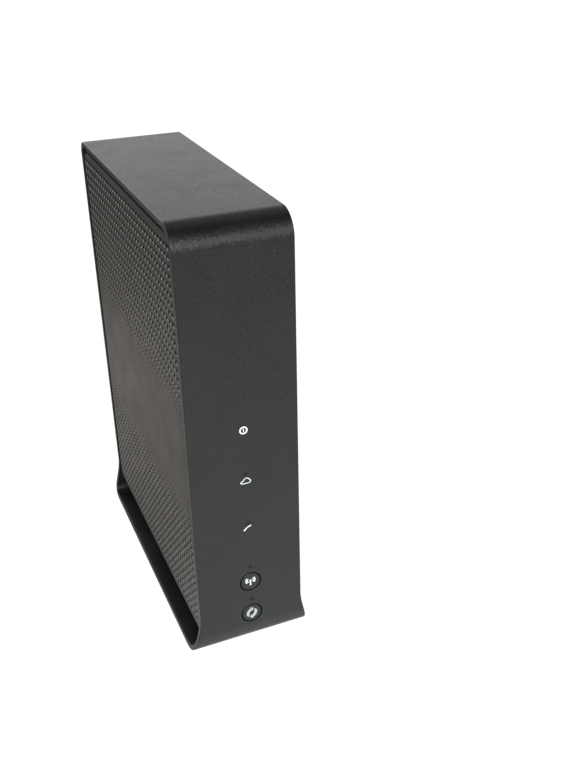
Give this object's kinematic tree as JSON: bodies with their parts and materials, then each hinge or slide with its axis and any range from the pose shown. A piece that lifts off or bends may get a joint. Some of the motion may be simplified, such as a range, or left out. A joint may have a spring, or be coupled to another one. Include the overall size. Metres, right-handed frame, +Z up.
{
  "type": "cable modem",
  "caption": "Upright cable modem and Wi-Fi gateway: wrap-around band on a flared foot, perforated side panels, two front push buttons, light windows, and a rear column of ports.",
  "frame": {"origin": "bottom centre of the whole object's bounding box, on the floor under the rubber feet", "axes": "+Z up; -Y is the front with the buttons and lights; +Y is the back with the ports; +X is the right side seen from the front"},
  "size_m": [0.0692, 0.193, 0.253],
  "materials": {
    "band_plastic": "matt charcoal black plastic with a fine spark-eroded texture",
    "panel_plastic": "satin dark grey perforated plastic",
    "button_plastic": "matt charcoal plastic, printed white symbol",
    "inner_plastic": "black moulded plastic",
    "rear_plastic": "black textured plastic",
    "light_window": "smoked light guide window",
    "icon_white": "white print and translucent white lens",
    "foot_rubber": "black rubber",
    "plate_white": "blank white plate",
    "circuit_board": "green solder mask",
    "switch_black": "black plastic",
    "jack_yellow": "yellow moulded jack",
    "jack_grey": "grey moulded jack",
    "insulator_white": "white insulator",
    "tinned_steel": "tinned shielding steel",
    "nickel": "nickel plated brass",
    "heat_sink_alloy": "extruded aluminium",
    "screw_steel": "zinc plated steel",
    "lead_black": "black coaxial lead"
  },
  "bodies": {
    "modem": {"wrap_band": "band_plastic", "rubber_foot_1": "foot_rubber", "rubber_foot_2": "foot_rubber", "rubber_foot_3": "foot_rubber", "rubber_foot_4": "foot_rubber", "blank_rating_plate": "plate_white", "left_side_panel": "panel_plastic", "right_side_panel": "panel_plastic", "core_frame": "inner_plastic", "rear_panel": "rear_plastic", "wifi_tact_switch": "switch_black", "pairing_tact_switch": "switch_black", "online_light_guide": "light_window", "phone_light_guide": "light_window", "wifi_light_guide": "light_window", "pairing_light_guide": "light_window", "power_light_guide": "icon_white", "front_board": "circuit_board", "front_board_screw_1": "screw_steel", "front_board_screw_2": "screw_steel", "rear_screw_1": "screw_steel", "rear_screw_2": "screw_steel", "main_board": "circuit_board", "board_screw_1": "screw_steel", "board_screw_2": "screw_steel", "board_screw_3": "screw_steel", "board_screw_4": "screw_steel", "main_processor": "switch_black", "heat_sink": "heat_sink_alloy", "tuner_shield": "tinned_steel", "wifi_shield": "tinned_steel", "antenna_board_1": "circuit_board", "antenna_board_2": "circuit_board", "antenna_board_3": "circuit_board", "antenna_lead_1": "lead_black", "antenna_lead_2": "lead_black", "antenna_lead_3": "lead_black", "ethernet_jack_1": "jack_yellow", "ethernet_jack_2": "jack_yellow", "ethernet_jack_3": "jack_yellow", "ethernet_jack_4": "jack_yellow", "phone_jack_1": "jack_grey", "phone_jack_2": "jack_grey", "coax_connector": "nickel", "coax_insulator": "insulator_white", "coax_nut": "nickel", "dc_power_jack": "switch_black", "power_switch_body": "switch_black", "reset_switch": "switch_black"},
    "wifi_button": {"wifi_button": "button_plastic"},
    "pairing_button": {"pairing_button": "button_plastic"},
    "power_switch": {"power_switch_cap": "switch_black"},
    "reset_button": {"reset_button": "insulator_white"}
  },
  "joints": [
    {"name": "wifi_button_press", "type": "slide", "parent": "modem", "child": "wifi_button", "axis": [0, 1, 0], "range_m": [0, 0.0008]},
    {"name": "pairing_button_press", "type": "slide", "parent": "modem", "child": "pairing_button", "axis": [0, 1, 0], "range_m": [0, 0.0008]},
    {"name": "power_switch_press", "type": "slide", "parent": "modem", "child": "power_switch", "axis": [0, -1, 0], "range_m": [0, 0.0023]},
    {"name": "reset_button_press", "type": "slide", "parent": "modem", "child": "reset_button", "axis": [0, -1, 0], "range_m": [0, 0.0005]}
  ]
}
